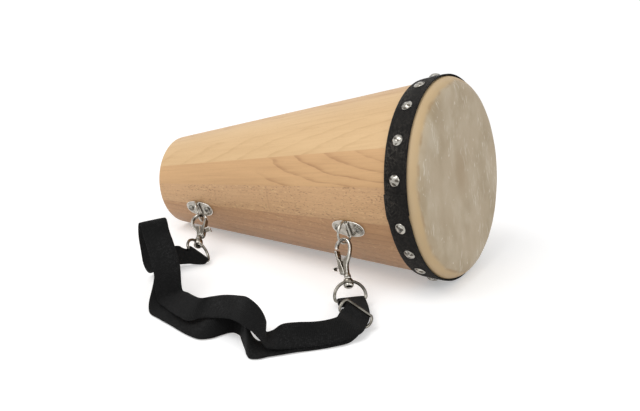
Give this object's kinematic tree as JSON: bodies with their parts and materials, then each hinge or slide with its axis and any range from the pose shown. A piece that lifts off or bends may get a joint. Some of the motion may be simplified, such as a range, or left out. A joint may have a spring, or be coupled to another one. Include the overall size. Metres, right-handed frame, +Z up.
{
  "type": "conga",
  "caption": "Small tapered stave hand drum lying on its side, with a tacked natural skin head and a webbing shoulder strap on two swivel snap hooks.",
  "frame": {"origin": "Floor point under the middle of the whole object's bounding box, as it lies on its side.", "axes": "+Z up; +X along the floor towards the head end; -Y the strap side."},
  "size_m": [0.3584, 0.3542, 0.2006],
  "materials": {
    "wood_pale": "satin clear lacquer over pale straight-grained hardwood",
    "wood_warm": "satin clear lacquer over warm straight-grained hardwood",
    "wood_pink": "satin clear lacquer over pinkish hardwood with short dark pores",
    "skin": "natural rawhide, matt, mottled, paler over the rim",
    "band": "black ribbed woven band, matt",
    "tack": "polished nickel plate",
    "plate": "bright nickel plate on pressed steel",
    "screw": "nickel-plated round head",
    "ring": "bright nickel-plated wire",
    "hook": "bright nickel plate on die-cast body",
    "pin": "plain steel",
    "webbing": "black woven strap webbing, matt"
  },
  "bodies": {
    "drum": {"stave_01": "wood_pale", "stave_02": "wood_warm", "stave_03": "wood_pink", "stave_04": "wood_pale", "stave_05": "wood_warm", "stave_06": "wood_pink", "stave_07": "wood_pale", "stave_08": "wood_warm", "stave_09": "wood_pink", "stave_10": "wood_pale", "stave_11": "wood_warm", "stave_12": "wood_pink", "stave_13": "wood_pale", "stave_14": "wood_warm", "stave_15": "wood_pink", "stave_16": "wood_pale", "skin_head": "skin", "rim_band": "band", "tack_01": "tack", "tack_02": "tack", "tack_03": "tack", "tack_04": "tack", "tack_05": "tack", "tack_06": "tack", "tack_07": "tack", "tack_08": "tack", "tack_09": "tack", "tack_10": "tack", "tack_11": "tack", "tack_12": "tack", "tack_13": "tack", "tack_14": "tack", "tack_15": "tack", "tack_16": "tack", "tack_17": "tack", "tack_18": "tack", "front_plate": "plate", "front_screw_1": "screw", "front_screw_2": "screw", "rear_plate": "plate", "rear_screw_1": "screw", "rear_screw_2": "screw", "strap": "webbing"},
    "front_ring": {"front_d_ring": "ring"},
    "front_snap": {"front_hook": "hook", "front_trigger_pin": "pin", "front_trigger_spring": "pin"},
    "front_lever": {"front_trigger": "hook"},
    "front_swivel": {"front_eye": "ring", "strap_slider": "ring"},
    "rear_ring": {"rear_d_ring": "ring"},
    "rear_snap": {"rear_hook": "hook", "rear_trigger_pin": "pin", "rear_trigger_spring": "pin"},
    "rear_lever": {"rear_trigger": "hook"},
    "rear_swivel": {"rear_eye": "ring"}
  },
  "joints": [
    {"name": "front_ring_swing", "type": "hinge", "parent": "drum", "child": "front_ring", "pos_m": [0.08455, -0.00812, 0.06152], "axis": [-0.1532, -0.3157, 0.9364], "range_deg": [-60, 50], "deforming": ["strap"]},
    {"name": "front_hook_swing", "type": "hinge", "parent": "front_ring", "child": "front_snap", "pos_m": [0.08454, -0.01726, 0.05044], "axis": [0.1749, 0.8909, -0.4191], "range_deg": [-60, 110], "deforming": ["strap"]},
    {"name": "front_trigger_press", "type": "hinge", "parent": "front_snap", "child": "front_lever", "pos_m": [0.09354, -0.03041, 0.02624], "axis": [0.1749, 0.8909, -0.4191], "range_deg": [0, 12], "stiffness_Nm_per_rad": 0.05, "springref_deg": -20.05, "deforming": ["front_trigger_spring"]},
    {"name": "front_swivel_turn", "type": "hinge", "parent": "front_snap", "child": "front_swivel", "pos_m": [0.10003, -0.03429, 0.02071], "axis": [0.4119, -0.4529, -0.7907], "continuous": true, "deforming": ["strap"]},
    {"name": "rear_ring_swing", "type": "hinge", "parent": "drum", "child": "rear_ring", "pos_m": [-0.11235, 0.0198, 0.03872], "axis": [-0.1532, -0.3157, 0.9364], "range_deg": [-90, 15], "deforming": ["strap"]},
    {"name": "rear_hook_swing", "type": "hinge", "parent": "rear_ring", "child": "rear_snap", "pos_m": [-0.10353, 0.00818, 0.03399], "axis": [0.0375, 0.4718, -0.8809], "range_deg": [-50, 110], "deforming": ["strap"]},
    {"name": "rear_trigger_press", "type": "hinge", "parent": "rear_snap", "child": "rear_lever", "pos_m": [-0.08582, -0.01235, 0.02375], "axis": [-0.0375, -0.4718, 0.8809], "range_deg": [0, 12], "stiffness_Nm_per_rad": 0.05, "springref_deg": -20.05, "deforming": ["rear_trigger_spring"]},
    {"name": "rear_swivel_turn", "type": "hinge", "parent": "rear_snap", "child": "rear_swivel", "pos_m": [-0.08398, -0.02047, 0.01948], "axis": [0.52, -0.762, -0.386], "continuous": true, "deforming": ["strap"]}
  ]
}
